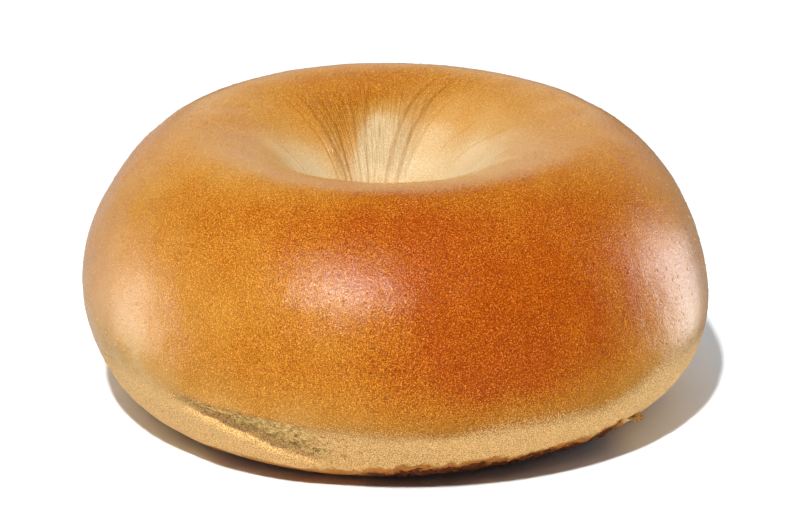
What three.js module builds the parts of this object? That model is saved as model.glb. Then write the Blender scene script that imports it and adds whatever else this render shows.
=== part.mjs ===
// A plain bagel: one solid ring of boiled and baked bread.
// It lies on its flat foot at z = 0, with +Z up and the middle of its box on the Z axis.
// The section of the ring is a closed outline of four rounded quarters and a flat foot:
// flank (foot to belly), shoulder (belly to crest), funnel (crest to throat) and
// underside (throat back to the foot). The outline is swept round the axis and then
// made uneven, as dough is: out of round, leaning, pleated in the funnel, and split
// low on one side where the crust lifted off the paler bread under it.
import * as THREE from "three";
import { mergeVertices } from "three/addons/utils/BufferGeometryUtils.js";

// Driving dimensions, in millimetres.
const bellyRadius = 54.4;
const bellyHeight = 19.5;
const crestRadius = 33.4;
const crestHeight = 47.5;
const throatRadius = 7.5;
const throatHeight = 23;
const footOuterRadius = 36.6;
const footInnerRadius = 15.5;
const throatOffset = new THREE.Vector2(-2.4, 0.3);

// How full each quarter is: 2 is an ellipse, less is flatter, more is squarer.
const fullness = { flank: 1.99, shoulder: 1.73, funnel: 2, underside: 1.7 };

// Number of steps along each stretch of the section, and round the ring.
const steps = { flank: 12, shoulder: 10, funnel: 11, underside: 5, foot: 3 };
const stepsRound = 96;

// Unevenness of the whole ring, in millimetres. A lean has one high side; its
// direction is an azimuth in degrees, counted from +X towards +Y.
const outOfRound = [
  { size: 0.82, waves: 2, azimuth: -70 },
  { size: 0.48, waves: 3, azimuth: 0 },
];
const bellyLean = { size: 2, azimuth: 133 };
const crestLean = { size: 0.2, azimuth: 89 };
const lumps = [
  { size: 0.07, waves: 3, azimuth: 84, turn: 1 },
  { size: 0.05, waves: 5, azimuth: 40, turn: 2 },
];

// The lower flank draws in towards the foot by a plain amount and by more on one side, and
// near there it is straighter than a rounded flank. Azimuths and spreads are in degrees.
const tuck = { plain: 0.2, more: 1, azimuth: -66, spread: 20, top: 15 };
const straighter = { depth: 2.3, azimuth: -92, spread: 38, height: 9.3, tall: 5 };

// Pleats that gather the crust into the throat: they start at the reach, a radius, are
// full at the radius called full, and fade out below the throat by the fade, a height.
const pleats = { waves: 17, depth: 0.45, reach: 27, full: 11.5, fade: 12, sway: 0.5 };

// The split: it leaves the edge of the crust at its start and runs down to its end,
// closing over the last stretch. The crust's lip stands proud a little above it.
const split = {
  start: { azimuth: -146, height: 14.8 },
  bend: { azimuth: -124, height: 13.9 },
  end: { azimuth: -95, height: 5.6 },
  closing: 12,
  depth: 1.3,
  width: 2,
  lip: 0.6,
  lipRise: 1.6,
};

// Heights between which the lumps grow from nothing, so that the foot stays flat.
const footFade = { from: 1, to: 8 };

// The lean of the belly fades out this far from it, as a share of its height.
const leanReach = 0.7;

// A quarter of a rounded outline, from the end of its flat axis to that of its upright one.
class Quarter extends THREE.Curve {
  constructor(from, to, power, startsFlat) {
    super();
    Object.assign(this, { from, to, power, startsFlat });
  }
  getPoint(t, target = new THREE.Vector3()) {
    const angle = (t * Math.PI) / 2;
    const grow = 1 - Math.cos(angle) ** (2 / this.power);
    const rise = Math.sin(angle) ** (2 / this.power);
    const across = this.startsFlat ? rise : grow;
    const up = this.startsFlat ? grow : rise;
    return target.set(
      THREE.MathUtils.lerp(this.from.x, this.to.x, across),
      THREE.MathUtils.lerp(this.from.y, this.to.y, up),
      0,
    );
  }
}

// The closed section, with x as the radius and y as the height.
function sectionOutline() {
  const foot = new THREE.Vector2(footOuterRadius, 0);
  const belly = new THREE.Vector2(bellyRadius, bellyHeight);
  const crest = new THREE.Vector2(crestRadius, crestHeight);
  const throat = new THREE.Vector2(throatRadius, throatHeight);
  const heel = new THREE.Vector2(footInnerRadius, 0);
  const stretches = [
    [new Quarter(foot, belly, fullness.flank, true), steps.flank],
    [new Quarter(belly, crest, fullness.shoulder, false), steps.shoulder],
    [new Quarter(crest, throat, fullness.funnel, true), steps.funnel],
    [new Quarter(throat, heel, fullness.underside, false), steps.underside],
    [new THREE.LineCurve(heel, foot), steps.foot],
  ];
  return stretches.flatMap(([curve, count]) =>
    curve
      .getSpacedPoints(count)
      .slice(0, -1)
      .map((p) => new THREE.Vector2(p.x, p.y)),
  );
}

// Outward direction at each point of a closed outline that runs counter-clockwise.
function outlineNormals(outline) {
  return outline.map((_, i) => {
    const after = outline[(i + 1) % outline.length];
    const before = outline[(i + outline.length - 1) % outline.length];
    return new THREE.Vector2(after.y - before.y, before.x - after.x).normalize();
  });
}

const radians = THREE.MathUtils.degToRad;
const smooth = THREE.MathUtils.smoothstep;
const bell = (x) => Math.exp(-x * x);
const turned = (azimuth, other) => THREE.MathUtils.euclideanModulo(azimuth - other + 180, 360) - 180;

// Height of the split at an azimuth in degrees, and how open it is there, 0 to 1.
function splitAt(azimuth) {
  const { start, bend, end } = split;
  const down = smooth(azimuth, bend.azimuth, end.azimuth);
  const along = smooth(azimuth, start.azimuth, bend.azimuth);
  const upper = THREE.MathUtils.lerp(start.height, bend.height, along);
  const height = THREE.MathUtils.lerp(upper, end.height, down);
  const closed = smooth(azimuth, end.azimuth - split.closing, end.azimuth);
  return { height, open: along * (1 - closed) };
}

function lumpRelief(height, phi) {
  let out = 0;
  for (const { size, waves, azimuth, turn } of lumps) {
    const climb = (2 * turn * height) / crestHeight;
    out += size * Math.sin(waves * phi + radians(azimuth) + climb);
  }
  return out * smooth(height, footFade.from, footFade.to);
}

function pleatRelief(radius, height, phi) {
  const gathered = 1 - smooth(radius, pleats.full, pleats.reach);
  const above = smooth(height, pleats.fade, throatHeight);
  const swayed = phi + (pleats.sway * Math.sin(3 * phi)) / pleats.waves;
  return pleats.depth * gathered * above * Math.cos(pleats.waves * swayed);
}

function splitRelief(height, phi) {
  const { height: line, open } = splitAt(THREE.MathUtils.radToDeg(phi));
  const above = (height - line) / split.width;
  return open * (split.lip * bell(above - split.lipRise) - split.depth * bell(above));
}

// How far the surface stands out along its own normal, at a radius, height and azimuth.
function relief(radius, height, phi) {
  if (height <= 0) return 0;
  const side = radius > crestRadius ? splitRelief(height, phi) : pleatRelief(radius, height, phi);
  return lumpRelief(height, phi) + side;
}

// How far the lower flank is drawn in, at a height and azimuth.
function drawnIn(height, phi) {
  const azimuth = THREE.MathUtils.radToDeg(phi);
  const low = Math.max(0, 1 - height / tuck.top) ** 1.4;
  const tucked = tuck.plain + tuck.more * bell(turned(azimuth, tuck.azimuth) / tuck.spread);
  const level = bell((height - straighter.height) / straighter.tall);
  const side = bell(turned(azimuth, straighter.azimuth) / straighter.spread);
  return low * tucked + straighter.depth * level * side;
}

// Moves one point of the swept ring to its place on the uneven one.
function placed(point, normal, phi) {
  const outwards = (point.x / bellyRadius) ** 2;
  const upwards = point.y / crestHeight;
  const fromBelly = (point.y - bellyHeight) / (leanReach * bellyHeight);
  const nearBelly = Math.max(0, 1 - fromBelly ** 2);
  const lift =
    bellyLean.size * Math.cos(phi - radians(bellyLean.azimuth)) * nearBelly * outwards +
    crestLean.size * Math.cos(phi - radians(crestLean.azimuth)) * upwards;
  let bulge = 0;
  for (const { size, waves, azimuth } of outOfRound) {
    bulge += size * outwards * Math.cos(waves * (phi - radians(azimuth)));
  }
  const onFlank = point.x >= footOuterRadius && point.y < bellyHeight;
  if (onFlank) bulge -= drawnIn(point.y, phi);
  const out = relief(point.x, point.y, phi);
  const radius = point.x + bulge + out * normal.x;
  const drift = 1 - smooth(point.x, throatRadius, crestRadius);
  return new THREE.Vector3(
    radius * Math.cos(phi) + throatOffset.x * drift,
    radius * Math.sin(phi) + throatOffset.y * drift,
    point.y + lift + out * normal.y,
  );
}

function ringGeometry() {
  const outline = sectionOutline();
  const normals = outlineNormals(outline);
  const positions = [];
  const faces = [];
  const count = outline.length;
  for (let i = 0; i < stepsRound; i++) {
    const phi = -Math.PI + (2 * Math.PI * i) / stepsRound;
    const next = ((i + 1) % stepsRound) * count;
    outline.forEach((point, j) => {
      positions.push(...placed(point, normals[j], phi).toArray());
      const here = i * count + j;
      const up = i * count + ((j + 1) % count);
      const across = next + j;
      const diagonal = next + ((j + 1) % count);
      faces.push(here, across, diagonal, here, diagonal, up);
    });
  }
  const ring = new THREE.BufferGeometry();
  ring.setAttribute("position", new THREE.Float32BufferAttribute(positions, 3));
  ring.setIndex(faces);
  ring.computeBoundingBox();
  const middle = ring.boundingBox.getCenter(new THREE.Vector3());
  ring.translate(-middle.x, -middle.y, 0);
  const closed = mergeVertices(ring);
  closed.computeVertexNormals();
  return closed;
}

const crust = new THREE.MeshStandardMaterial({
  color: new THREE.Color().setRGB(0.82, 0.5, 0.2, THREE.SRGBColorSpace),
  roughness: 0.45,
  metalness: 0,
});

const ring = new THREE.Mesh(ringGeometry(), crust);
ring.name = "bagel";

const bagel = new THREE.Group();
bagel.add(ring);

export default bagel;
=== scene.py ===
import math
import bmesh
import bpy
import numpy as np
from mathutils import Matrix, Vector


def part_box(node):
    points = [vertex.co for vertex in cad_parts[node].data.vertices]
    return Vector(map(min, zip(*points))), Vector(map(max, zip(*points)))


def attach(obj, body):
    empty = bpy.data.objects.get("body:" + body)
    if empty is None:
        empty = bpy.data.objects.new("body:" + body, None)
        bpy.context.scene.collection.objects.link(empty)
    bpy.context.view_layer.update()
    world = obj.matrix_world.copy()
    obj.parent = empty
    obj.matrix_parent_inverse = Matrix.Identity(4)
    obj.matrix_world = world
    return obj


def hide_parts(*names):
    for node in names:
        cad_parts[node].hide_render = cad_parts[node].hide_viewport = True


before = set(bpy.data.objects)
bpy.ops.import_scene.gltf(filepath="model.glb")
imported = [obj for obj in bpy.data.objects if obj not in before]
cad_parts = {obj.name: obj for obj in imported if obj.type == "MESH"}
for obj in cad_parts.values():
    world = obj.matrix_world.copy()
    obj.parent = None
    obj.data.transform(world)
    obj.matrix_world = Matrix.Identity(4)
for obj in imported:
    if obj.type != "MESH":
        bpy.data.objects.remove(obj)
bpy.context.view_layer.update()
cadLow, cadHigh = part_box("bagel")
mm = 0.001

# The ring's form follows the same sizes and rules as its solid, in millimetres and degrees.
ring = {
    "bellyRadius": 54.4, "bellyHeight": 19.5,
    "crestRadius": 33.4, "crestHeight": 47.5,
    "throatRadius": 7.5, "throatHeight": 23.0,
    "footOuterRadius": 36.6, "footInnerRadius": 15.5,
    "throatOffset": (-2.4, 0.3),
    "flankFullness": 1.99, "shoulderFullness": 1.73,
    "funnelFullness": 2.0, "undersideFullness": 1.7,
    "flankSteps": 88, "shoulderSteps": 36, "funnelSteps": 44, "undersideSteps": 11, "footSteps": 6,
    "stepsRound": 538,
    # finer steps at the split and foot, and at the wrinkles: azimuths from and to, how much finer
    "closer": [(-150, -33, 1.3), (50, 142, 0.9)], "closerSoft": 8,
    "outOfRound": [(0.82, 2, -70), (0.48, 3, 0)],      # size, waves, azimuth
    "bellyLean": (2.0, 133), "crestLean": (0.2, 89),   # size, azimuth of the high side
    "leanReach": 0.7,
    # the lower flank draws in to the foot: a plain amount, and more round an azimuth and spread
    "tuck": (0.2, 1.0, -66, 20), "tuckTop": 15, "tuckCurve": 1.4,
    # at the front it's straighter than a rounded flank: depth, azimuth, spread; height, spread
    "straighter": (2.3, -92, 38), "straighterAt": (9.3, 5.0),
    "ripples": [(0.035, 11.0), (0.014, 4.2), (0.01, 2.1)],  # size, wavelength
}

# The split in the flank: the crust's lip above, and the crease that runs down and away from it.
split = {
    "start": -135, "open": -123, "closing": -117, "end": -97,   # azimuths
    "lipHeight": 15.1, "lipEnd": 13.2, "lipFallFrom": -113, "lipFallTo": -99,
    "creaseFrom": 13.4, "creaseTo": 5.9, "runFrom": -128, "runTo": -98,
    "narrowest": 0.5, "depth": 1.1, "slopeCurve": 1.3, "step": 0.3, "wall": 0.95,
    "lip": 0.35, "lipAbove": 0.9, "lipSpread": 1.5, "roll": 0.6, "rollBelow": 2.8, "rollSpread": 2.2,
    "wander": [(2.6, 0.3), (0.9, 0.16)],                        # wavelength and size
    "creaseWander": 0.7, "lipWander": 0.6,                      # how much of it each line follows
    "crumb": 0.13, "crumbSizes": (1.5, 0.8), "tornFadeFrom": -110, "tornFadeTo": -96,
    # painted shade: a darker line along the crease, and painted shadow under the crust's overhanging lip
    "shadeFrom": -113, "shadeTo": -120, "shadeWidth": 0.4, "shade": 0.7,
}

# Pale band under the crust's edge, and the browned, ragged edge round the foot, its darker bottom partly
# painted shade.
foot = {
    "bandTop": 13.6, "bandWave": 0.6, "bandWavelength": 26, "bandSoft": 4.2,
    "bandRise": 4.3, "bandRiseAt": -27, "bandRiseSpread": 22,
    # how high it's scorched: behind, at the left, at the front; azimuths where each fades in and out
    "scorchLeast": 1.5, "scorchLow": 3.6, "scorchHigh": 5.4,
    "lowStart": (-138, -128), "lowEnd": (-44, -32), "highStart": (-102, -84), "highEnd": (-40, -26),
    "lowFainter": 0.22, "cornerRise": 2.2, "cornerAt": -41, "cornerSpread": 5,
    "edgeWander": [(5, 0.4), (1.8, 0.2), (0.9, 0.1)],
    "ledge": 0.12, "undercut": 0.35, "ragged": [(2.0, 0.08), (1.0, 0.07)],
    "baked": 0.5,                                               # how brown the flat underside is
}

# Wrinkles that gather the crust into the funnel: azimuth and radius where each starts and
# ends, depth and width.
wrinkles = [
    (136, 27, 130, 11, 0.16, 0.24), (131, 29, 122, 11, 0.22, 0.24), (121, 25, 116, 11, 0.22, 0.24),
    (107, 24, 106, 10, 0.16, 0.22), (99, 25, 100, 10, 0.22, 0.24), (90, 22, 93, 11, 0.12, 0.22),
    (73, 30, 83, 10, 0.3, 0.26), (67, 30, 73, 10, 0.32, 0.26), (60, 24, 66, 11, 0.12, 0.22),
    (38, 21, 44, 14, 0.1, 0.3), (14, 25, 24, 14, 0.12, 0.3), (-146, 24, -150, 15, 0.16, 0.26),
    (-150, 24, -154, 15, 0.16, 0.26), (170, 20, 166, 11, 0.12, 0.3),
]
wrinkleRest = {"count": 12, "from": -140, "to": -10, "depth": 0.16, "width": 0.3, "seed": 5}
wrinkleSway = 0.5    # degrees
wrinkleRidge = {"height": 0.3, "aside": 2.2, "width": 1.3}    # beside each: shares of its depth and width
wrinkleFade = (14, 24)    # heights between which the wrinkles come in

# Finely creased skin at the back of the funnel: azimuths and radii, and how softly it ends.
crinkles = {"from": 58, "to": 136, "turnSoft": 14,
            "radiusFrom": 9, "innerSoft": 4, "radiusTo": 28, "outerSoft": 7}


def smooth(value, low, high):
    t = np.clip((value - low) / (high - low), 0, 1)
    return t * t * (3 - 2 * t)


def bell(value):
    return np.exp(-value * value)


def between(value, start, end):
    # 1 between two soft limits, each given as where it begins and where it's over
    return smooth(value, *start) * (1 - smooth(value, *end))


def turned(azimuth, other):
    return (azimuth - other + 180) % 360 - 180


def ripples(points, wavelength, seed, waveCount=40):
    # smooth random unevenness of typical height 1
    rng = np.random.default_rng(seed)
    ways = rng.normal(size=(waveCount, 3))
    ways *= 2 * np.pi / wavelength / np.linalg.norm(ways, axis=1, keepdims=True)
    ways *= rng.uniform(0.7, 1.4, (waveCount, 1))
    total = np.zeros(points.shape[:-1])
    for way, shift in zip(ways, rng.uniform(0, 2 * np.pi, waveCount)):
        total += np.cos(points @ way + shift)
    return total * math.sqrt(2 / waveCount)


def wander(points, waves, seed):
    # a sum of ripples, each of a wavelength and size
    return sum(size * ripples(points, wave, seed + k) for k, (wave, size) in enumerate(waves))


def quarter(start, end, fullness, startsFlat, steps):
    # one rounded quarter of the section, in even steps along its length
    angle = np.linspace(0, np.pi / 2, 40 * steps)
    grow = 1 - np.cos(angle) ** (2 / fullness)
    rise = np.sin(angle) ** (2 / fullness)
    share = np.stack([rise, grow] if startsFlat else [grow, rise], 1)
    path = np.array(start) + share * (np.array(end) - np.array(start))
    length = np.r_[0, np.cumsum(np.hypot(*np.diff(path, axis=0).T))]
    even = np.linspace(0, length[-1], steps + 1)[:-1]
    return np.stack([np.interp(even, length, path[:, 0]), np.interp(even, length, path[:, 1])], 1)


def ringSection():
    r = ring
    footEdge, heel = (r["footOuterRadius"], 0), (r["footInnerRadius"], 0)
    belly, crest = (r["bellyRadius"], r["bellyHeight"]), (r["crestRadius"], r["crestHeight"])
    throat = (r["throatRadius"], r["throatHeight"])
    flat = np.linspace(heel, footEdge, r["footSteps"] + 1)[:-1]
    section = np.concatenate([
        quarter(footEdge, belly, r["flankFullness"], True, r["flankSteps"]),
        quarter(belly, crest, r["shoulderFullness"], False, r["shoulderSteps"]),
        quarter(crest, throat, r["funnelFullness"], True, r["funnelSteps"]),
        quarter(throat, heel, r["undersideFullness"], False, r["undersideSteps"]),
        flat,
    ])
    along = np.roll(section, -1, 0) - np.roll(section, 1, 0)
    normal = np.stack([along[:, 1], -along[:, 0]], 1)
    return section, normal / np.linalg.norm(normal, axis=1, keepdims=True)


def azimuthsRound():
    # azimuths whose steps are finer where the ring asks for it
    fine = np.linspace(-180, 180, 7201)
    density = np.ones_like(fine)
    soft = ring["closerSoft"]
    for begin, end, more in ring["closer"]:
        density += more * (smooth(fine, begin - soft, begin + soft) - smooth(fine, end - soft, end + soft))
    walked = np.r_[0, np.cumsum((density[1:] + density[:-1]) / 2)]
    return np.interp(np.linspace(0, walked[-1], ring["stepsRound"] + 1)[:-1], walked, fine)


def wrinkleRelief(azimuth, radius):
    lines = list(wrinkles)
    rng = np.random.default_rng(wrinkleRest["seed"])
    for k in range(wrinkleRest["count"]):
        share = (k + rng.uniform(0.2, 0.8)) / wrinkleRest["count"]
        at = wrinkleRest["from"] + (wrinkleRest["to"] - wrinkleRest["from"]) * share
        size = rng.uniform(0.6, 1.2)
        lines.append((at, rng.uniform(20, 28), at + rng.uniform(-6, 6), rng.uniform(10, 13),
                      size * wrinkleRest["depth"], wrinkleRest["width"]))
    out = np.zeros_like(radius)
    groove = np.zeros_like(radius)
    ridge = wrinkleRidge
    for topAzimuth, topRadius, lowAzimuth, lowRadius, depth, width in lines:
        along = (radius - lowRadius) / (topRadius - lowRadius)
        middle = lowAzimuth + (topAzimuth - lowAzimuth) * along + wrinkleSway * np.sin(7 * along + topAzimuth)
        aside = np.radians(turned(azimuth, middle)) * radius
        ends = smooth(along, -0.3, 0.25) * (1 - smooth(along, 0.7, 1.05))
        line = ends * bell(aside / width)
        beside = (np.abs(aside) - ridge["aside"] * width) / (ridge["width"] * width)
        ridges = ridge["height"] * ends * bell(beside)
        out += depth * (ridges - line)
        # painted shade: each wrinkle darkens along its line, the more the deeper it is
        groove = np.maximum(groove, line * min(1, depth / 0.25))
    return out, groove


def splitRelief(azimuth, height, points):
    s = split
    wobble = wander(points * [1, 1, 0.2], s["wander"], 21)
    run = smooth(azimuth, s["runFrom"], s["runTo"])
    crease = s["creaseFrom"] + (s["creaseTo"] - s["creaseFrom"]) * run + s["creaseWander"] * wobble
    fall = smooth(azimuth, s["lipFallFrom"], s["lipFallTo"])
    lip = s["lipHeight"] + (s["lipEnd"] - s["lipHeight"]) * fall + s["lipWander"] * wobble
    gap = np.maximum(lip - crease, s["narrowest"])
    opening = smooth(azimuth, s["start"], s["open"])
    isOpen = opening * (1 - smooth(azimuth, s["closing"], s["end"]))
    across = (height - crease) / gap               # 0 in the crease, 1 at the lip
    below = np.maximum(crease - height, 0)
    belowCrease = height < crease
    torn = smooth(across, -0.1, 0.04) * (1 - smooth(height - lip, -0.3, 0.3)) * opening
    fade = smooth(azimuth + 2.5 * ripples(points, 2.2, 25), s["tornFadeFrom"], s["tornFadeTo"])
    torn *= 1 - fade
    slope = -s["depth"] * (1 - np.clip(across, 0, 1)) ** s["slopeCurve"]
    slope = slope - s["step"] * (1 - smooth(height - lip, -0.4, 0.3))
    wall = -(s["depth"] + s["step"]) * bell(below / s["wall"])
    out = isOpen * np.where(belowCrease, wall, slope)
    out += isOpen * s["roll"] * bell((below - s["rollBelow"]) / s["rollSpread"]) * belowCrease
    out += isOpen * s["lip"] * bell((height - lip - s["lipAbove"]) / s["lipSpread"]) * (height > lip)
    coarse, fine = s["crumbSizes"]
    out += torn * s["crumb"] * (ripples(points, coarse, 31) + 0.7 * ripples(points, fine, 32))
    broken = np.clip(0.7 + 0.35 * ripples(points, 1.6, 26) + 0.25 * ripples(points, 0.9, 27), 0, 1.2)
    # painted shade: a dark, broken line along the crease, and painted shadow under the lip
    creaseShadeLine = isOpen * bell((height - crease - 0.12 * gap) / (0.3 + 0.12 * gap)) * broken
    underLip = bell((height - lip + s["shadeWidth"]) / s["shadeWidth"])
    lipShade = opening * (1 - smooth(azimuth, s["shadeTo"], s["shadeFrom"])) * underLip * broken
    return out, torn, np.maximum(creaseShadeLine, s["shade"] * lipShade)


def footRelief(azimuth, height, points):
    f = foot
    shown = between(azimuth, f["highStart"], f["highEnd"])
    faint = between(azimuth, f["lowStart"], f["lowEnd"])
    reach = f["scorchLeast"] + (f["scorchLow"] - f["scorchLeast"]) * faint
    reach = reach + (f["scorchHigh"] - f["scorchLow"]) * shown
    reach = reach + f["cornerRise"] * bell(turned(azimuth, f["cornerAt"]) / f["cornerSpread"])
    edge = reach + wander(points * [1, 1, 0.1], f["edgeWander"], 41)
    # scorched more towards the bottom: partly browned crust, partly painted shade at the foot's lower edge
    scorch = (1 - smooth(height - edge, -0.5, 0.5)) * (0.6 + 0.4 * smooth(edge - height, 0.5, 2.6))
    ragged = wander(points * [1, 1, 0.6], f["ragged"], 45)
    out = shown * f["ledge"] * bell((height - edge + 0.6) / 0.6)
    out -= shown * f["undercut"] * bell((height - edge + 2.0) / 0.9)
    out += (0.25 + 0.75 * shown) * scorch * smooth(height, 0.3, 1.5) * ragged
    flaked = shown * bell((height - edge + 1.2) / 1.0)
    scorch = scorch * (1 - f["lowFainter"] * faint * (1 - shown))
    return out, scorch, flaked


# How far the crust is baked: 0 pale, 0.5 golden, 0.75 amber, 1 brown.
bake = {
    "least": 0.51, "most": 0.54, "brownSide": -68, "brownSpread": 44,
    "lowShare": 0.41, "lowFrom": 10, "lowTo": 26.2,
    "sideRaise": 4.0, "frontStart": (-142, -124), "frontEnd": (-56, -36),    # higher, but not at the front
    "crown": 0.12, "crownSide": -128, "crownSpread": 28, "crownHeight": 43, "crownTall": 5,
    "crestShare": 0.82, "crestFrom": 44.5, "crestTo": 48,
    "palest": 0.02, "blendFrom": 28, "blendTo": 36, "outsideBelow": 40,
    "patches": 0.035, "patchSize": 30, "mottles": 0.02, "mottleSize": 9,
}
# In the funnel, each a plain value and bumps round the ring (size, azimuth, spread): how golden,
# and the radii where the pale bread, in one place painted highlight, ends and where it's fully golden.
funnelGold = (0.5, [(0.2, 108, 36), (-0.04, 42, 22)])
# the bump at azimuth 97 is painted highlight: paler bread in place of glints on the creased skin
funnelPaleAndGlintTo = (10.8, [(6, -75, 55), (-5.5, 130, 24), (3, 84, 14), (5, 97, 12)])
funnelGoldFrom = (26.5, [(7, -75, 60), (-4.0, 112, 32)])


def roundThe(azimuth, values):
    plain, bumps = values
    return plain + sum(size * bell(turned(azimuth, at) / spread) for size, at, spread in bumps)


def bakedTone(azimuth, radius, height, points, onOutside):
    b = bake
    brown = b["least"] + b["most"] * bell(turned(azimuth, b["brownSide"]) / b["brownSpread"])
    brown = np.minimum(brown, 1)
    upTo = np.where(onOutside, height, b["crestTo"])
    raised = b["sideRaise"] * (1 - between(azimuth, b["frontStart"], b["frontEnd"]))
    risen = smooth(upTo - raised, b["lowFrom"], b["lowTo"])
    outside = brown * (b["lowShare"] + (1 - b["lowShare"]) * risen)
    crown = bell((upTo - b["crownHeight"]) / b["crownTall"])
    crown = crown * bell(turned(azimuth, b["crownSide"]) / b["crownSpread"])
    outside += b["crown"] * crown
    outside *= 1 - (1 - b["crestShare"]) * smooth(upTo, b["crestFrom"], b["crestTo"])
    gold = roundThe(azimuth, funnelGold)
    risen = smooth(radius, roundThe(azimuth, funnelPaleAndGlintTo), roundThe(azimuth, funnelGoldFrom))
    funnel = b["palest"] + (gold - b["palest"]) * risen
    tone = funnel + (outside - funnel) * smooth(radius, b["blendFrom"], b["blendTo"])
    tone = np.where(onOutside & (height < b["outsideBelow"]), outside, tone)
    tone = tone + b["patches"] * ripples(points, b["patchSize"], 51)
    return tone + b["mottles"] * ripples(points, b["mottleSize"], 52)


def ringSurface():
    # the ring's points, one round of the section after another, and the masks for its material
    section, normal = ringSection()
    azimuth = azimuthsRound()[:, None]
    phi = np.radians(azimuth)
    r, z = section[None, :, 0], section[None, :, 1]
    outwards = (r / ring["bellyRadius"]) ** 2
    fromBelly = (z - ring["bellyHeight"]) / (ring["leanReach"] * ring["bellyHeight"])
    leanSize, leanSide = ring["bellyLean"]
    crestSize, crestSide = ring["crestLean"]
    lift = leanSize * np.cos(phi - math.radians(leanSide)) * np.maximum(0, 1 - fromBelly ** 2) * outwards
    lift = lift + crestSize * np.cos(phi - math.radians(crestSide)) * z / ring["crestHeight"]
    bulge = sum(size * outwards * np.cos(waves * (phi - math.radians(side)))
                for size, waves, side in ring["outOfRound"])
    plain, more, at, spread = ring["tuck"]
    onFlank = (np.arange(len(section)) < ring["flankSteps"])[None, :]
    low = np.clip(1 - z / ring["tuckTop"], 0, 1) ** ring["tuckCurve"]
    bulge = bulge - onFlank * low * (plain + more * bell(turned(azimuth, at) / spread))
    depth, at, spread = ring["straighter"]
    level, tall = ring["straighterAt"]
    bulge = bulge - onFlank * depth * bell((z - level) / tall) * bell(turned(azimuth, at) / spread)
    drift = 1 - smooth(r, ring["throatRadius"], ring["crestRadius"])
    azimuth, radius, height = np.broadcast_arrays(azimuth, r, z)
    radial = np.stack([np.cos(phi), np.sin(phi)], -1)

    def place(out):
        flat = ((r + bulge + out * normal[None, :, 0])[..., None] * radial
                + drift[..., None] * np.array(ring["throatOffset"]))
        return np.concatenate([flat, (z + lift + out * normal[None, :, 1])[..., None]], -1)

    points = place(np.zeros(radius.shape))
    steps = np.arange(len(section))
    funnelStart = ring["flankSteps"] + ring["shoulderSteps"]
    onOutside = np.broadcast_to(steps < funnelStart, radius.shape)
    inHole = (steps >= funnelStart) & (steps < len(section) - ring["footSteps"])
    inHole = np.broadcast_to(inHole, radius.shape)
    offFoot = smooth(height, 0.2, 3)
    standing = smooth(height, 0, 1.2)

    out = np.zeros(radius.shape)
    for k, (size, wavelength) in enumerate(ring["ripples"]):
        out += size * offFoot * ripples(points, wavelength, 11 + k)
    folds, groove = wrinkleRelief(azimuth, radius)
    faded = smooth(height, *wrinkleFade)
    out += np.where(inHole, folds * faded, 0)
    tear, torn, creaseShadeLine = splitRelief(azimuth, height, points)
    edge, scorch, flaked = footRelief(azimuth, height, points)
    out += np.where(onOutside, (tear + edge) * standing, 0)
    out[:, height[0] <= 0] = 0

    f = foot
    bandTop = f["bandTop"] + f["bandWave"] * ripples(points * [1, 1, 0], f["bandWavelength"], 61)
    bandTop += f["bandRise"] * bell(turned(azimuth, f["bandRiseAt"]) / f["bandRiseSpread"])
    band = 1 - smooth(height - bandTop, -f["bandSoft"], f["bandSoft"])
    c = crinkles
    start, end, soft = c["from"], c["to"], c["turnSoft"]
    crinkled = between(azimuth, (start, start + soft), (end - soft, end))
    crinkled = crinkled * smooth(radius, c["radiusFrom"], c["radiusFrom"] + c["innerSoft"])
    crinkled = crinkled * (1 - smooth(radius, c["radiusTo"] - c["outerSoft"], c["radiusTo"]))
    fields = {
        "tone": bakedTone(azimuth, radius, height, points, onOutside),
        "band": np.where(onOutside, band, np.where(height < 20, 1, 0)),
        "torn": np.where(onOutside, torn, 0),
        "scorch": np.where(onOutside & (height > 0), scorch, f["baked"] * (1 - smooth(height, 0, 5))),
        # painted shade along the funnel's wrinkles
        "groove": np.where(inHole, groove * faded, 0),
        # painted shade in the crease and painted shadow under the lip
        "crease": np.where(onOutside, creaseShadeLine, 0),
        "crinkle": np.where(inHole, crinkled, 0),
        "blistered": smooth(height, 12, 17) * np.where(onOutside, 1, 0.5),
        "crumbed": np.where(onOutside, torn * smooth(height, 4, 6), 0),
        "flaked": np.where(onOutside, flaked * smooth(height, 1, 2.5), 0),
    }
    surface = place(out)
    surface[..., 2] = np.maximum(surface[..., 2], 0)
    surface[:, height[0] <= 0, 2] = 0
    return surface, fields


def meshObject(name, vertices, faces, material):
    mesh = bpy.data.meshes.new(name)
    mesh.from_pydata(vertices, [], faces)
    mesh.validate()
    mesh.shade_smooth()
    mesh.materials.append(material)
    piece = bpy.data.objects.new(name, mesh)
    bpy.context.scene.collection.objects.link(piece)
    return piece


def standOnCad(points):
    # the middle of the ring's box is put where the solid's is
    middle = (points.reshape(-1, 3).min(0) + points.reshape(-1, 3).max(0)) / 2
    cadMiddle = np.array((cadLow + cadHigh) / 2)
    return points * mm + np.array([cadMiddle[0] - middle[0] * mm, cadMiddle[1] - middle[1] * mm, cadLow.z])


def makeBody(material):
    points, fields = ringSurface()
    points = standOnCad(points)
    rounds, count = points.shape[:2]
    i, j = np.meshgrid(np.arange(rounds), np.arange(count), indexing="ij")
    nextI, nextJ = (i + 1) % rounds, (j + 1) % count
    faces = np.stack([i * count + j, nextI * count + j, nextI * count + nextJ, i * count + nextJ], -1)
    body = meshObject("bagelBody", points.reshape(-1, 3).tolist(), faces.reshape(-1, 4).tolist(), material)
    for name, values in fields.items():
        attribute = body.data.attributes.new(name, "FLOAT", "POINT")
        attribute.data.foreach_set("value", np.clip(values, 0, 1).astype(np.float32).ravel())
    return body


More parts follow.
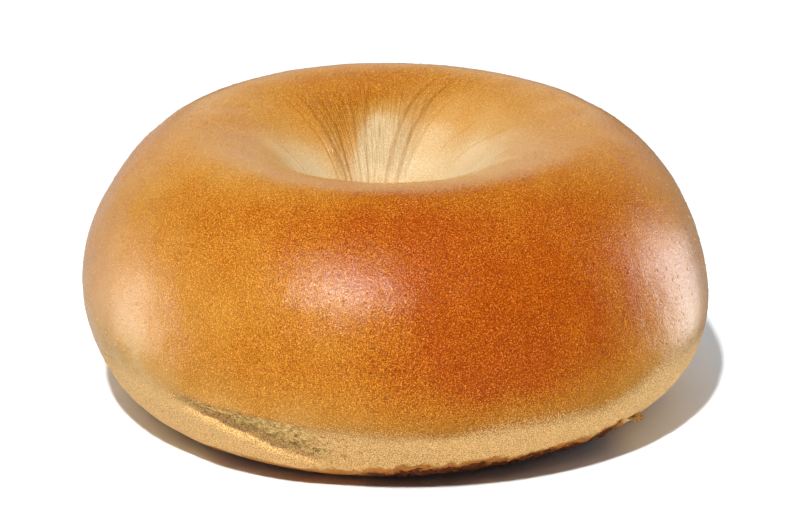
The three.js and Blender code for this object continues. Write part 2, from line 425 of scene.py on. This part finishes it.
# Node helpers for the materials.
def addNode(tree, kind, inputs=None, **settings):
    made = tree.nodes.new(kind)
    for key, value in settings.items():
        setattr(made, key, value)
    for key, value in (inputs or {}).items():
        if isinstance(value, bpy.types.NodeSocket):
            tree.links.new(value, made.inputs[key])
        else:
            made.inputs[key].default_value = value
    return made


def math2(tree, operation, a, b):
    return addNode(tree, "ShaderNodeMath", {0: a, 1: b}, operation=operation).outputs[0]


def mixColor(tree, factor, a, b, blend="MIX"):
    made = addNode(tree, "ShaderNodeMix", {0: factor, 6: a, 7: b}, data_type="RGBA", blend_type=blend)
    return made.outputs[2]


def ranged(tree, value, low, high, outLow=0.0, outHigh=1.0, kind="SMOOTHSTEP"):
    inputs = {"Value": value, "From Min": low, "From Max": high, "To Min": outLow, "To Max": outHigh}
    return addNode(tree, "ShaderNodeMapRange", inputs, interpolation_type=kind).outputs["Result"]


def noise(tree, where, scale, detail=2.0, roughness=0.5, distortion=0.0):
    inputs = {"Vector": where, "Scale": scale, "Detail": detail, "Roughness": roughness,
              "Distortion": distortion}
    return addNode(tree, "ShaderNodeTexNoise", inputs).outputs["Fac"]


def newGroup(name, inputs, outputs):
    tree = bpy.data.node_groups.new(name, "ShaderNodeTree")
    for label, kind, value in inputs:
        socket = tree.interface.new_socket(name=label, in_out="INPUT", socket_type=kind)
        socket.default_value = value
    for label, kind in outputs:
        tree.interface.new_socket(name=label, in_out="OUTPUT", socket_type=kind)
    return tree, tree.nodes.new("NodeGroupInput").outputs, tree.nodes.new("NodeGroupOutput").inputs


number, colour = "NodeSocketFloat", "NodeSocketColor"


# Pricks in the crust: cells to the metre, a prick's size in its cell, and how few cells have one.
prick = {"scale": 330.0, "inner": 0.02, "outer": 0.05, "chosenFrom": 0.78, "chosenTo": 0.86}


def makeGrainGroup():
    # fine baked grain: light and dark speckle, the skin's dimples and small pricks
    tree, given, result = newGroup("bakedGrain", [("Size", number, 0.22), ("Peel Size", number, 1.3)],
                                   [("Speckle", number), ("Peel", number), ("Pricks", number)])
    where = addNode(tree, "ShaderNodeTexCoord").outputs["Object"]
    fine = math2(tree, "DIVIDE", 1000.0, given["Size"])
    speckle = noise(tree, where, fine, 1.5, 0.6)
    peel = noise(tree, where, math2(tree, "DIVIDE", 1000.0, given["Peel Size"]), 3.0, 0.6, 0.5)
    cells = addNode(tree, "ShaderNodeTexVoronoi", {"Vector": where, "Scale": prick["scale"]})
    spot = ranged(tree, cells.outputs["Distance"], prick["inner"], prick["outer"], 1.0, 0.0)
    picked = addNode(tree, "ShaderNodeSeparateColor", {0: cells.outputs["Color"]}).outputs[0]
    chosen = ranged(tree, picked, prick["chosenFrom"], prick["chosenTo"])
    tree.links.new(ranged(tree, speckle, 0.26, 0.74), result["Speckle"])
    tree.links.new(peel, result["Peel"])
    tree.links.new(math2(tree, "MULTIPLY", spot, chosen), result["Pricks"])
    return tree


def makeCrinkleGroup():
    # fine creases that run down the funnel, as a height from 0 to 1
    tree, given, result = newGroup("funnelCrinkle", [("Turns", number, 90.0), ("Drift X", number, -2.4 * mm)],
                                   [("Height", number)])
    where = addNode(tree, "ShaderNodeTexCoord").outputs["Object"]
    x, y, z = addNode(tree, "ShaderNodeSeparateXYZ", {0: where}).outputs
    aside = math2(tree, "SUBTRACT", x, given["Drift X"])
    angle = math2(tree, "ARCTAN2", y, aside)
    turns = math2(tree, "MULTIPLY", angle, given["Turns"])
    along = math2(tree, "MULTIPLY", z, 260.0)      # far fewer down than round, so the creases run down
    place = addNode(tree, "ShaderNodeCombineXYZ", {0: turns, 1: along, 2: 0.0}).outputs[0]
    tree.links.new(ranged(tree, noise(tree, place, 0.55, 3.0, 0.6, 0.3), 0.3, 0.7), result["Height"])
    return tree


# Colours, noise scales to the metre, grain and peel sizes and relief heights in millimetres.
crustLook = {
    "tones": [(0.0, (0.7, 0.53, 0.3)), (0.25, (0.57, 0.3, 0.085)), (0.5, (0.49, 0.206, 0.025)),
              (0.75, (0.42, 0.13, 0.006)), (1.0, (0.33, 0.052, 0.0015))],
    "bandColor": (0.82, 0.5, 0.19), "bandDark": (0.6, 0.32, 0.09),
    "edgeGold": (0.5, 0.3, 0.07),
    "tornColor": (0.82, 0.54, 0.2), "tornDark": (0.44, 0.26, 0.06),
    # painted shade for the crease and under the lip
    "creaseShadeColor": (0.27, 0.16, 0.03),
    # the darkest scorch is partly browned crust and partly painted shade at the foot's bottom
    "scorchColor": (0.5, 0.17, 0.022), "scorchAndShadeDark": (0.12, 0.025, 0.003),
    # the grooves' colour is painted shade along the wrinkles; the pricks' colour is their own
    "grooveShadeColor": (0.62, 0.42, 0.14), "prickColor": (0.2, 0.06, 0.01),
    # pale flecks: painted glints
    "glintFleckColor": (0.95, 0.68, 0.3),
    "grain": 0.2, "peel": 0.7, "mottleScale": 110.0, "poreScale": 1100.0, "streakScale": 420.0,
    "grainTone": 0.32, "mottleTone": 0.12, "grainShade": 1.05, "grainLeast": 0.3, "grainBand": 0.55,
    "glintFlecks": 0.03, "glintFleckFrom": 0.35, "grooveShade": 0.5, "prickShade": 0.5,
    "roughness": 0.24, "mattRoughness": 0.8, "grainRoughness": 0.12,
    "grainHeight": 0.018, "peelHeight": 0.075, "poreHeight": 0.2, "prickHeight": -0.05, "crinkleHeight": 0.2,
    "ior": 1.45, "specular": 0.3,
}
crustMasks = ["tone", "band", "torn", "scorch", "groove", "crease", "crinkle"]


def makeCrustGroup(grain, crinkle):
    # the crust's colour, roughness and fine relief from how far each spot is baked
    tree, given, result = newGroup("crustFinish", [(mask.capitalize(), number, 0.0) for mask in crustMasks],
                                   [("Color", colour), ("Roughness", number), ("Height", number)])
    # a colour gets its fourth number, the rest stays
    look = {key: (*value, 1) if isinstance(value, tuple) else value for key, value in crustLook.items()}
    where = addNode(tree, "ShaderNodeTexCoord").outputs["Object"]
    grained = addNode(tree, "ShaderNodeGroup", node_tree=grain)
    grained.inputs["Size"].default_value = look["grain"]
    grained.inputs["Peel Size"].default_value = look["peel"]
    speckle, peel, pricks = grained.outputs["Speckle"], grained.outputs["Peel"], grained.outputs["Pricks"]
    signed = math2(tree, "SUBTRACT", speckle, 0.5)
    mottled = math2(tree, "SUBTRACT", noise(tree, where, look["mottleScale"], 3.0, 0.6), 0.5)

    # golden to brown; the grain stands out more the darker the crust is
    strength = ranged(tree, given["Tone"], 0.15, 0.85, look["grainLeast"], 1.0)
    strength = math2(tree, "MAXIMUM", strength, math2(tree, "MULTIPLY", given["Band"], look["grainBand"]))
    grainy = math2(tree, "MULTIPLY", signed, strength)
    tone = math2(tree, "ADD", given["Tone"], math2(tree, "MULTIPLY", grainy, look["grainTone"]))
    tone = math2(tree, "ADD", tone, math2(tree, "MULTIPLY", mottled, look["mottleTone"]))
    ramp = addNode(tree, "ShaderNodeValToRGB", {0: tone})
    ramp.color_ramp.elements.remove(ramp.color_ramp.elements[0])
    for k, (at, tint) in enumerate(look["tones"]):
        stop = ramp.color_ramp.elements[0] if k == 0 else ramp.color_ramp.elements.new(at)
        stop.position = at
        stop.color = (*tint, 1)
    shade = ramp.outputs["Color"]

    # the pale band starts in speckles under the crust's edge
    bandSeen = math2(tree, "ADD", given["Band"], math2(tree, "MULTIPLY", signed, -0.55))
    bandSeen = ranged(tree, math2(tree, "ADD", bandSeen, math2(tree, "MULTIPLY", mottled, 0.5)), 0.2, 0.9)
    bandTint = mixColor(tree, ranged(tree, speckle, 0.95, 0.1), look["bandDark"], look["bandColor"])
    shade = mixColor(tree, bandSeen, shade, bandTint)

    # torn bread, with small dark pores
    pores = noise(tree, where, look["poreScale"], 3.0, 0.7)
    poreSeen = ranged(tree, pores, 0.36, 0.55)
    tornTint = mixColor(tree, poreSeen, look["tornDark"], look["tornColor"])
    shade = mixColor(tree, ranged(tree, given["Torn"], 0.35, 0.7), shade, tornTint)

    # scorched edge round the foot: golden, then red-brown with darker streaks, darkest at its bottom, which
    # is partly painted shade
    uneven = math2(tree, "MULTIPLY", math2(tree, "SUBTRACT", pores, 0.5), 0.45)
    burnt = math2(tree, "ADD", given["Scorch"], uneven)
    streaks = math2(tree, "SUBTRACT", noise(tree, where, look["streakScale"], 3.0, 0.65, 0.4), 0.5)
    darker = math2(tree, "ADD", burnt, math2(tree, "MULTIPLY", streaks, 1.2))
    shade = mixColor(tree, ranged(tree, burnt, 0.06, 0.3, 0.0, 0.8), shade, look["edgeGold"])
    scorchTint = mixColor(tree, ranged(tree, darker, 0.6, 1.0), look["scorchColor"], look["scorchAndShadeDark"])
    shade = mixColor(tree, ranged(tree, burnt, 0.25, 0.55), shade, scorchTint)

    # painted shade along the wrinkles, in the crease and under the crust's lip; the pricks are darker
    grooveShadeSeen = math2(tree, "MULTIPLY", given["Groove"], look["grooveShade"])
    shade = mixColor(tree, grooveShadeSeen, shade, look["grooveShadeColor"], "MULTIPLY")
    creaseShadeSeen = math2(tree, "MULTIPLY", given["Crease"], ranged(tree, pores, 0.62, 0.4, 0.35, 0.85))
    shade = mixColor(tree, creaseShadeSeen, shade, look["creaseShadeColor"])
    shade = mixColor(tree, math2(tree, "MULTIPLY", pricks, look["prickShade"]), shade, look["prickColor"])

    # pale flecks as painted glints, and light and dark grain over everything
    glintFleck = ranged(tree, speckle, look["glintFleckFrom"], 0.0, 0.0, look["glintFlecks"])
    glintFleck = math2(tree, "MULTIPLY", glintFleck, strength)
    shade = mixColor(tree, glintFleck, shade, look["glintFleckColor"])
    brighter = math2(tree, "MULTIPLY_ADD", grainy, -look["grainShade"])
    brighter.node.inputs[2].default_value = 1.0
    level = addNode(tree, "ShaderNodeCombineXYZ", {0: brighter, 1: brighter, 2: brighter}).outputs[0]
    tree.links.new(mixColor(tree, 1.0, shade, level, "MULTIPLY"), result["Color"])

    matt = math2(tree, "MAXIMUM", math2(tree, "MAXIMUM", bandSeen, given["Torn"]), given["Scorch"])
    gloss = ranged(tree, matt, 0.0, 1.0, look["roughness"], look["mattRoughness"], "LINEAR")
    unevenGloss = math2(tree, "MULTIPLY", signed, look["grainRoughness"])
    tree.links.new(math2(tree, "ADD", gloss, unevenGloss), result["Roughness"])

    # relief in millimetres
    broken = math2(tree, "MAXIMUM", given["Torn"], given["Scorch"])
    wrinkled = addNode(tree, "ShaderNodeGroup", node_tree=crinkle).outputs["Height"]
    reliefs = [
        (math2(tree, "MULTIPLY", speckle, strength), -look["grainHeight"]),
        (peel, look["peelHeight"]),
        (math2(tree, "MULTIPLY", pores, broken), look["poreHeight"]),
        (pricks, look["prickHeight"]),
        (math2(tree, "MULTIPLY", wrinkled, given["Crinkle"]), look["crinkleHeight"]),
    ]
    height = 0.0
    for part, size in reliefs:
        height = math2(tree, "ADD", height, math2(tree, "MULTIPLY", part, size))
    tree.links.new(height, result["Height"])
    return tree


def makeCrustMaterial(group):
    material = bpy.data.materials.new("bakedCrust")
    material.use_nodes = True
    tree = material.node_tree
    shader = tree.nodes["Principled BSDF"]
    finish = addNode(tree, "ShaderNodeGroup", node_tree=group)
    for mask in crustMasks:
        read = addNode(tree, "ShaderNodeAttribute", attribute_name=mask, attribute_type="GEOMETRY")
        tree.links.new(read.outputs["Fac"], finish.inputs[mask.capitalize()])
    bump = addNode(tree, "ShaderNodeBump", {"Height": finish.outputs["Height"], "Distance": mm})
    bump.inputs["Strength"].default_value = 1.0
    tree.links.new(finish.outputs["Color"], shader.inputs["Base Color"])
    tree.links.new(finish.outputs["Roughness"], shader.inputs["Roughness"])
    tree.links.new(bump.outputs["Normal"], shader.inputs["Normal"])
    shader.inputs["IOR"].default_value = crustLook["ior"]
    shader.inputs["Specular IOR Level"].default_value = crustLook["specular"]
    return material


# Small pieces: how many to the square metre, sizes, how far one may be stretched, its height as a
# share of its width, and how far it may tip, in radians.
pimples = {"mask": "blistered", "density": 1.3e5, "small": 0.35 * mm, "large": 0.75 * mm,
           "stretch": 1.4, "flatness": 1.0, "tilt": 0.0, "seed": 4}
crumbs = {"mask": "crumbed", "density": 9.0e6, "small": 0.2 * mm, "large": 0.55 * mm,
          "stretch": 1.5, "flatness": 0.75, "tilt": 0.6, "seed": 9}
scraps = {"mask": "flaked", "density": 1.5e6, "small": 0.35 * mm, "large": 0.8 * mm,
          "stretch": 1.8, "flatness": 1.0, "tilt": 0.5, "seed": 14}


def granule(name, subdivisions, uneven, seed):
    # a lump one unit across
    shape = bmesh.new()
    bmesh.ops.create_icosphere(shape, subdivisions=subdivisions, radius=0.5)
    rng = np.random.default_rng(seed)
    for corner in shape.verts:
        corner.co *= 1 + rng.uniform(-uneven, uneven)
    mesh = bpy.data.meshes.new(name)
    shape.to_mesh(mesh)
    shape.free()
    return bpy.data.objects.new(name, mesh)


def pimpleShape(name):
    # a low bump one unit across that runs out flat into the crust, closed below
    count = 8
    rows = [(0.22, 0.075), (0.38, 0.02), (0.5, -0.03)]
    vertices = [(0, 0, 0.1)]
    for reach, lift in rows:
        for k in range(count):
            angle = 2 * math.pi * k / count
            vertices.append((reach * math.cos(angle), reach * math.sin(angle), lift))
    vertices.append((0, 0, -0.1))
    faces = []
    for k in range(count):
        n = (k + 1) % count
        faces.append((0, 1 + k, 1 + n))
        for row in range(len(rows) - 1):
            a, b = 1 + row * count, 1 + (row + 1) * count
            faces.append((a + k, b + k, b + n, a + n))
        last = 1 + (len(rows) - 1) * count
        faces.append((last + n, last + k, len(vertices) - 1))
    mesh = bpy.data.meshes.new(name)
    mesh.from_pydata(vertices, [], faces)
    return bpy.data.objects.new(name, mesh)


def scrapShape(name, seed):
    # a bent flake one unit across: an uneven outline, thin at its edge
    rng = np.random.default_rng(seed)
    count = 11
    around = np.linspace(0, 2 * np.pi, count, endpoint=False)
    reach = rng.uniform(0.32, 0.55, count)
    rows = [(1.0, 0.0), (0.6, 0.1), (0.0, 0.13), (0.6, -0.1)]
    vertices, rings = [], []
    for share, lift in rows:
        first = len(vertices)
        for k in range(count if share else 1):
            x, y = share * reach[k] * math.cos(around[k]), share * reach[k] * math.sin(around[k])
            vertices.append((x, y, lift + 0.5 * x * x - 0.35 * y * y))
        rings.append(list(range(first, len(vertices))))
    edge, upper, top, lower = rings
    vertices.append((0, 0, -0.13))
    faces = []
    for k in range(count):
        n = (k + 1) % count
        faces.append((edge[k], edge[n], upper[n], upper[k]))
        faces.append((upper[k], upper[n], top[0]))
        faces.append((edge[n], edge[k], lower[k], lower[n]))
        faces.append((lower[n], lower[k], len(vertices) - 1))
    mesh = bpy.data.meshes.new(name)
    mesh.from_pydata(vertices, [], faces)
    mesh.validate()
    return bpy.data.objects.new(name, mesh)


def makeScatterTree():
    # scatters one piece over a surface, as densely as a mask on the surface asks
    tree = bpy.data.node_groups.new("scatterOnCrust", "GeometryNodeTree")
    wanted = [("Geometry", "NodeSocketGeometry"), ("Piece", "NodeSocketObject"), ("Mask", "NodeSocketString"),
              ("Density", number), ("Small", number), ("Large", number), ("Stretch", number),
              ("Flatness", number), ("Tilt", number), ("Seed", "NodeSocketInt"),
              ("Material", "NodeSocketMaterial")]
    for label, kind in wanted:
        tree.interface.new_socket(name=label, in_out="INPUT", socket_type=kind)
    tree.interface.new_socket(name="Geometry", in_out="OUTPUT", socket_type="NodeSocketGeometry")
    given = tree.nodes.new("NodeGroupInput").outputs
    result = tree.nodes.new("NodeGroupOutput").inputs

    def chance(low, high, seed):
        # sockets 2 and 3 are the limits of a plain number
        made = addNode(tree, "FunctionNodeRandomValue", {2: low, 3: high, "Seed": seed}, data_type="FLOAT")
        return made.outputs[1]

    mask = addNode(tree, "GeometryNodeInputNamedAttribute", {"Name": given["Mask"]}, data_type="FLOAT")
    density = math2(tree, "MULTIPLY", mask.outputs["Attribute"], given["Density"])
    spread = addNode(tree, "GeometryNodeDistributePointsOnFaces",
                     {"Mesh": given["Geometry"], "Density": density, "Seed": given["Seed"]})
    back = math2(tree, "MULTIPLY", given["Tilt"], -1.0)
    turn = addNode(tree, "ShaderNodeCombineXYZ", {
        0: chance(back, given["Tilt"], 1),
        1: chance(back, given["Tilt"], 2),
        2: chance(0.0, 2 * math.pi, 3)})
    tipped = addNode(tree, "FunctionNodeEulerToRotation", {0: turn.outputs[0]}).outputs[0]
    rotation = addNode(tree, "FunctionNodeRotateRotation", {0: spread.outputs["Rotation"], 1: tipped},
                       rotation_space="LOCAL")
    size = chance(given["Small"], given["Large"], 4)
    long = math2(tree, "MULTIPLY", size, chance(1.0, given["Stretch"], 5))
    tall = math2(tree, "MULTIPLY", size, given["Flatness"])
    scale = addNode(tree, "ShaderNodeCombineXYZ", {0: long, 1: size, 2: tall})
    piece = addNode(tree, "GeometryNodeObjectInfo", {"Object": given["Piece"]})
    placed = addNode(tree, "GeometryNodeInstanceOnPoints", {
        "Points": spread.outputs["Points"], "Instance": piece.outputs["Geometry"],
        "Rotation": rotation.outputs[0], "Scale": scale.outputs[0]})
    real = addNode(tree, "GeometryNodeRealizeInstances", {"Geometry": placed.outputs["Instances"]})
    soft = addNode(tree, "GeometryNodeSetShadeSmooth", {"Geometry": real.outputs["Geometry"]})
    dressed = addNode(tree, "GeometryNodeSetMaterial",
                      {"Geometry": soft.outputs["Geometry"], "Material": given["Material"]})
    tree.links.new(dressed.outputs["Geometry"], result["Geometry"])
    return tree


def scattered(name, tree, body, piece, values, material):
    # runs the tree on a copy of the body and keeps only the realized pieces
    host = bpy.data.objects.new(name + "Host", body.data.copy())
    bpy.context.scene.collection.objects.link(host)
    bpy.context.scene.collection.objects.link(piece)
    modifier = host.modifiers.new("scatter", "NODES")
    modifier.node_group = tree
    inputs = {key.capitalize(): value for key, value in values.items()}
    inputs.update(Piece=piece, Material=material)
    for item in tree.interface.items_tree:
        if item.in_out == "INPUT" and item.name in inputs:
            modifier[item.identifier] = inputs[item.name]
    graph = bpy.context.evaluated_depsgraph_get()
    graph.update()
    mesh = bpy.data.meshes.new_from_object(host.evaluated_get(graph), preserve_all_data_layers=True,
                                           depsgraph=graph)
    mesh.name = name
    host.modifiers.remove(modifier)
    bpy.data.objects.remove(host)
    bpy.data.objects.remove(piece)
    made = bpy.data.objects.new(name, mesh)
    bpy.context.scene.collection.objects.link(made)
    return made


# A torn flake that stands off the flank just above the foot.
flake = {"azimuth": -36.5, "height": 6.4, "long": 3.8, "wide": 2.7, "thick": 0.4, "inside": 0.8, "droop": -8,
         "steps": (22, 8), "waves": (2.3, 4.1, 6.7, 9.5), "waveSizes": (0.05, 0.14), "seed": 3}
flakeMasks = {"tone": 0.15, "torn": 0.8, "scorch": 0.0, "band": 0.3}


def makeFlake(material):
    # a ragged tongue: u runs round the flank, v runs out from it
    f = flake
    section, _ = ringSection()
    flank = section[:ring["flankSteps"]]
    radius = np.interp(f["height"], flank[:, 1], flank[:, 0])
    u = np.linspace(-1, 1, f["steps"][0] + 1)[:, None]
    v = np.linspace(0, 1, f["steps"][1] + 1)[None, :]
    rng = np.random.default_rng(f["seed"])
    ragged = sum(rng.uniform(*f["waveSizes"]) * np.sin(w * np.pi * u + rng.uniform(0, 6)) for w in f["waves"])
    out = v * f["wide"] * (np.sqrt(np.maximum(1 - u * u, 0)) * (0.8 + ragged) + 0.02) - f["inside"]
    half = 0.5 * f["thick"] * np.sqrt(np.maximum(1 - v ** 3, 0)) * np.sqrt(np.maximum(1 - u ** 4, 0.02))
    wave = 0.12 * np.sin(5 * u + 1) + 0.08 * np.sin(11 * u + 3 * v)
    azimuth = np.radians(f["azimuth"] + np.degrees(u * f["long"] / 2 / radius))
    drop = math.tan(math.radians(f["droop"]))

    def sheet(side):
        level = f["height"] + drop * out + wave + side * half
        level, wide, turn = np.broadcast_arrays(level, radius + out, azimuth)
        return np.stack([wide * np.cos(turn), wide * np.sin(turn), level], -1)

    upper, lower = sheet(1), sheet(-1)
    rounds, count = upper.shape[:2]
    loop = np.concatenate([upper, lower[:, ::-1]], 1)    # each slice: out over the top and back below
    around = loop.shape[1]
    vertices = loop.reshape(-1, 3) * mm
    faces = []
    for i in range(rounds - 1):
        for j in range(around):
            n = (j + 1) % around
            faces.append((i * around + j, i * around + n, (i + 1) * around + n, (i + 1) * around + j))
    faces.append(tuple(range(around - 1, -1, -1)))
    faces.append(tuple((rounds - 1) * around + j for j in range(around)))
    piece = meshObject("tornFlake", vertices.tolist(), faces, material)
    shape = bmesh.new()
    shape.from_mesh(piece.data)
    bmesh.ops.recalc_face_normals(shape, faces=shape.faces)
    shape.to_mesh(piece.data)
    shape.free()
    for name, value in flakeMasks.items():
        attribute = piece.data.attributes.new(name, "FLOAT", "POINT")
        attribute.data.foreach_set("value", [value] * len(piece.data.vertices))
    return piece


# Light falls from the front left; the sky is bright overhead and behind, and dark on the camera's side.
studio = {
    "keyAzimuth": -13.5, "keyElevation": 53.5, "keyDistance": 1.7, "keySize": 0.09, "keyPower": 33.5,
    "skyBright": 0.6, "skyDark": 0.03, "skyTint": (0.9, 0.98, 1.08), "skyBehind": 0.48,
    "brightFrom": 0.12, "brightTo": 0.75, "behindFrom": 0.6, "behindTo": 0.95,
    "floorSize": 6.0, "floorColor": (0.9, 0.93, 0.95), "floorRoughness": 0.9,
}

# Soft lights, by azimuth, elevation, distance, width, height and power: the first show only as
# diffuse light, the second only as gloss.
diffuseLights = {
    "leftLight": (-111, 5, 0.9, 0.4, 0.5, 0.85),
    "rightLight": (108, 8, 0.9, 0.4, 0.5, 1.25),
    "frontFill": (20, 7, 0.8, 0.6, 0.15, 0.2),
}
glossLights = {
    "frontGloss": (-22.5, 44.5, 0.9, 0.27, 0.19, 6.4),
    "frontCore": (-20.5, 43, 0.9, 0.11, 0.07, 2.2),
    "leftGloss": (-103, -1, 0.9, 0.4, 0.4, 2.4),
    "leftSheen": (-114, -2, 0.9, 0.8, 0.6, 1.35),
    "rightUpper": (118, 8, 0.9, 0.22, 0.26, 2.3),
    "rightLower": (126, -9, 0.9, 0.3, 0.3, 2.1),
    "backGloss": (180, 14, 1.5, 2.4, 0.8, 3.2),
    "leftRim": (-152, -14, 1.2, 0.9, 0.7, 1.0),
    "rightRim": (150, -14, 1.2, 0.9, 0.7, 0.5),
}
# A narrow beam that brings out the creased skin inside the funnel.
funnelBeam = {"azimuth": -80, "elevation": 73, "distance": 0.6, "cone": 3.0, "radius": 0.05, "power": 60,
              "target": (0.0, 0.022, 0.041)}


def towards(azimuth, elevation):
    # a direction by azimuth, 0 from the camera and rising to the right, and elevation
    a, e = math.radians(azimuth), math.radians(elevation)
    return Vector((math.sin(a) * math.cos(e), -math.cos(a) * math.cos(e), math.sin(e)))


def aim(piece, place, target=Vector((0, 0, 0.02))):
    piece.location = place
    piece.rotation_euler = (target - place).to_track_quat("-Z", "Y").to_euler()


def areaLight(name, azimuth, elevation, distance, width, height, power):
    light = bpy.data.objects.new(name, bpy.data.lights.new(name, "AREA"))
    light.data.shape = "ELLIPSE"
    light.data.size, light.data.size_y = width, height
    light.data.energy = power
    aim(light, towards(azimuth, elevation) * distance)
    bpy.context.scene.collection.objects.link(light)
    return light


def makeFloor():
    s = studio
    floorMaterial = bpy.data.materials.new("paleFloor")
    floorMaterial.use_nodes = True
    floorShader = floorMaterial.node_tree.nodes["Principled BSDF"]
    floorShader.inputs["Base Color"].default_value = (*s["floorColor"], 1)
    floorShader.inputs["Roughness"].default_value = s["floorRoughness"]
    floorShader.inputs["Specular IOR Level"].default_value = 0.0
    half = s["floorSize"] / 2
    corners = [(-half, -half, 0), (half, -half, 0), (half, half, 0), (-half, half, 0)]
    floor = meshObject("floor", corners, [(0, 1, 2, 3)], floorMaterial)
    floor.visible_glossy = False
    floor.visible_shadow = False


def makeLights():
    s = studio
    key = areaLight("keyLight", s["keyAzimuth"], s["keyElevation"], s["keyDistance"],
                    s["keySize"], s["keySize"], s["keyPower"])
    key.data.shape = "DISK"
    key.visible_glossy = False
    for name, values in diffuseLights.items():
        areaLight(name, *values).visible_glossy = False
    for name, values in glossLights.items():
        gloss = areaLight(name, *values)
        gloss.visible_diffuse = False
        gloss.visible_camera = False
    b = funnelBeam
    beam = bpy.data.objects.new("funnelBeam", bpy.data.lights.new("funnelBeam", "SPOT"))
    beam.data.spot_size = math.radians(b["cone"])
    beam.data.spot_blend = 1.0
    beam.data.shadow_soft_size = b["radius"]
    beam.data.energy = b["power"]
    beam.visible_diffuse = False
    target = Vector(b["target"])
    aim(beam, target + towards(b["azimuth"], b["elevation"]) * b["distance"], target)
    bpy.context.scene.collection.objects.link(beam)


def makeSky():
    s = studio
    world = bpy.data.worlds.new("studioSky")
    bpy.context.scene.world = world
    world.use_nodes = True
    world.cycles_visibility.glossy = False
    tree = world.node_tree
    way = addNode(tree, "ShaderNodeTexCoord").outputs["Generated"]
    over = addNode(tree, "ShaderNodeVectorMath", {0: way, 1: (0, 0.6, 0.8)}, operation="DOT_PRODUCT")
    glow = ranged(tree, over.outputs["Value"], s["brightFrom"], s["brightTo"], s["skyDark"], s["skyBright"])
    behind = addNode(tree, "ShaderNodeVectorMath", {0: way, 1: (0, 1, 0)}, operation="DOT_PRODUCT")
    more = ranged(tree, behind.outputs["Value"], s["behindFrom"], s["behindTo"], 0.0, s["skyBehind"])
    tree.links.new(math2(tree, "ADD", glow, more), tree.nodes["Background"].inputs["Strength"])
    tree.nodes["Background"].inputs["Color"].default_value = (*s["skyTint"], 1)


view = {"lens": 183.1, "elevation": 20.4, "distance": 0.7, "target": (0.00084, 0, 0.02227)}


def makeCamera():
    camera = bpy.data.objects.new("camera", bpy.data.cameras.new("camera"))
    camera.data.sensor_width = 36
    camera.data.lens = view["lens"]
    camera.data.clip_start = 0.01
    target = Vector(view["target"])
    aim(camera, target + towards(0, view["elevation"]) * view["distance"], target)
    bpy.context.scene.collection.objects.link(camera)
    bpy.context.scene.camera = camera


bpy.context.scene.view_settings.view_transform = "Standard"
makeCamera()
makeFloor()
makeLights()
makeSky()
print("studio and camera made")

crust = makeCrustMaterial(makeCrustGroup(makeGrainGroup(), makeCrinkleGroup()))
body = makeBody(crust)
print("body made:", len(body.data.polygons), "faces")

scatterTree = makeScatterTree()
pieces = [
    body,
    scattered("crustPimples", scatterTree, body, pimpleShape("pimple"), pimples, crust),
    scattered("tornCrumbs", scatterTree, body, granule("crumb", 2, 0.22, 7), crumbs, crust),
    scattered("footScraps", scatterTree, body, scrapShape("scrap", 8), scraps, crust),
    makeFlake(crust),
]
for piece in pieces:
    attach(piece, "root")
    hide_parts("bagel")
    print("piece made:", piece.name, len(piece.data.polygons), "faces")
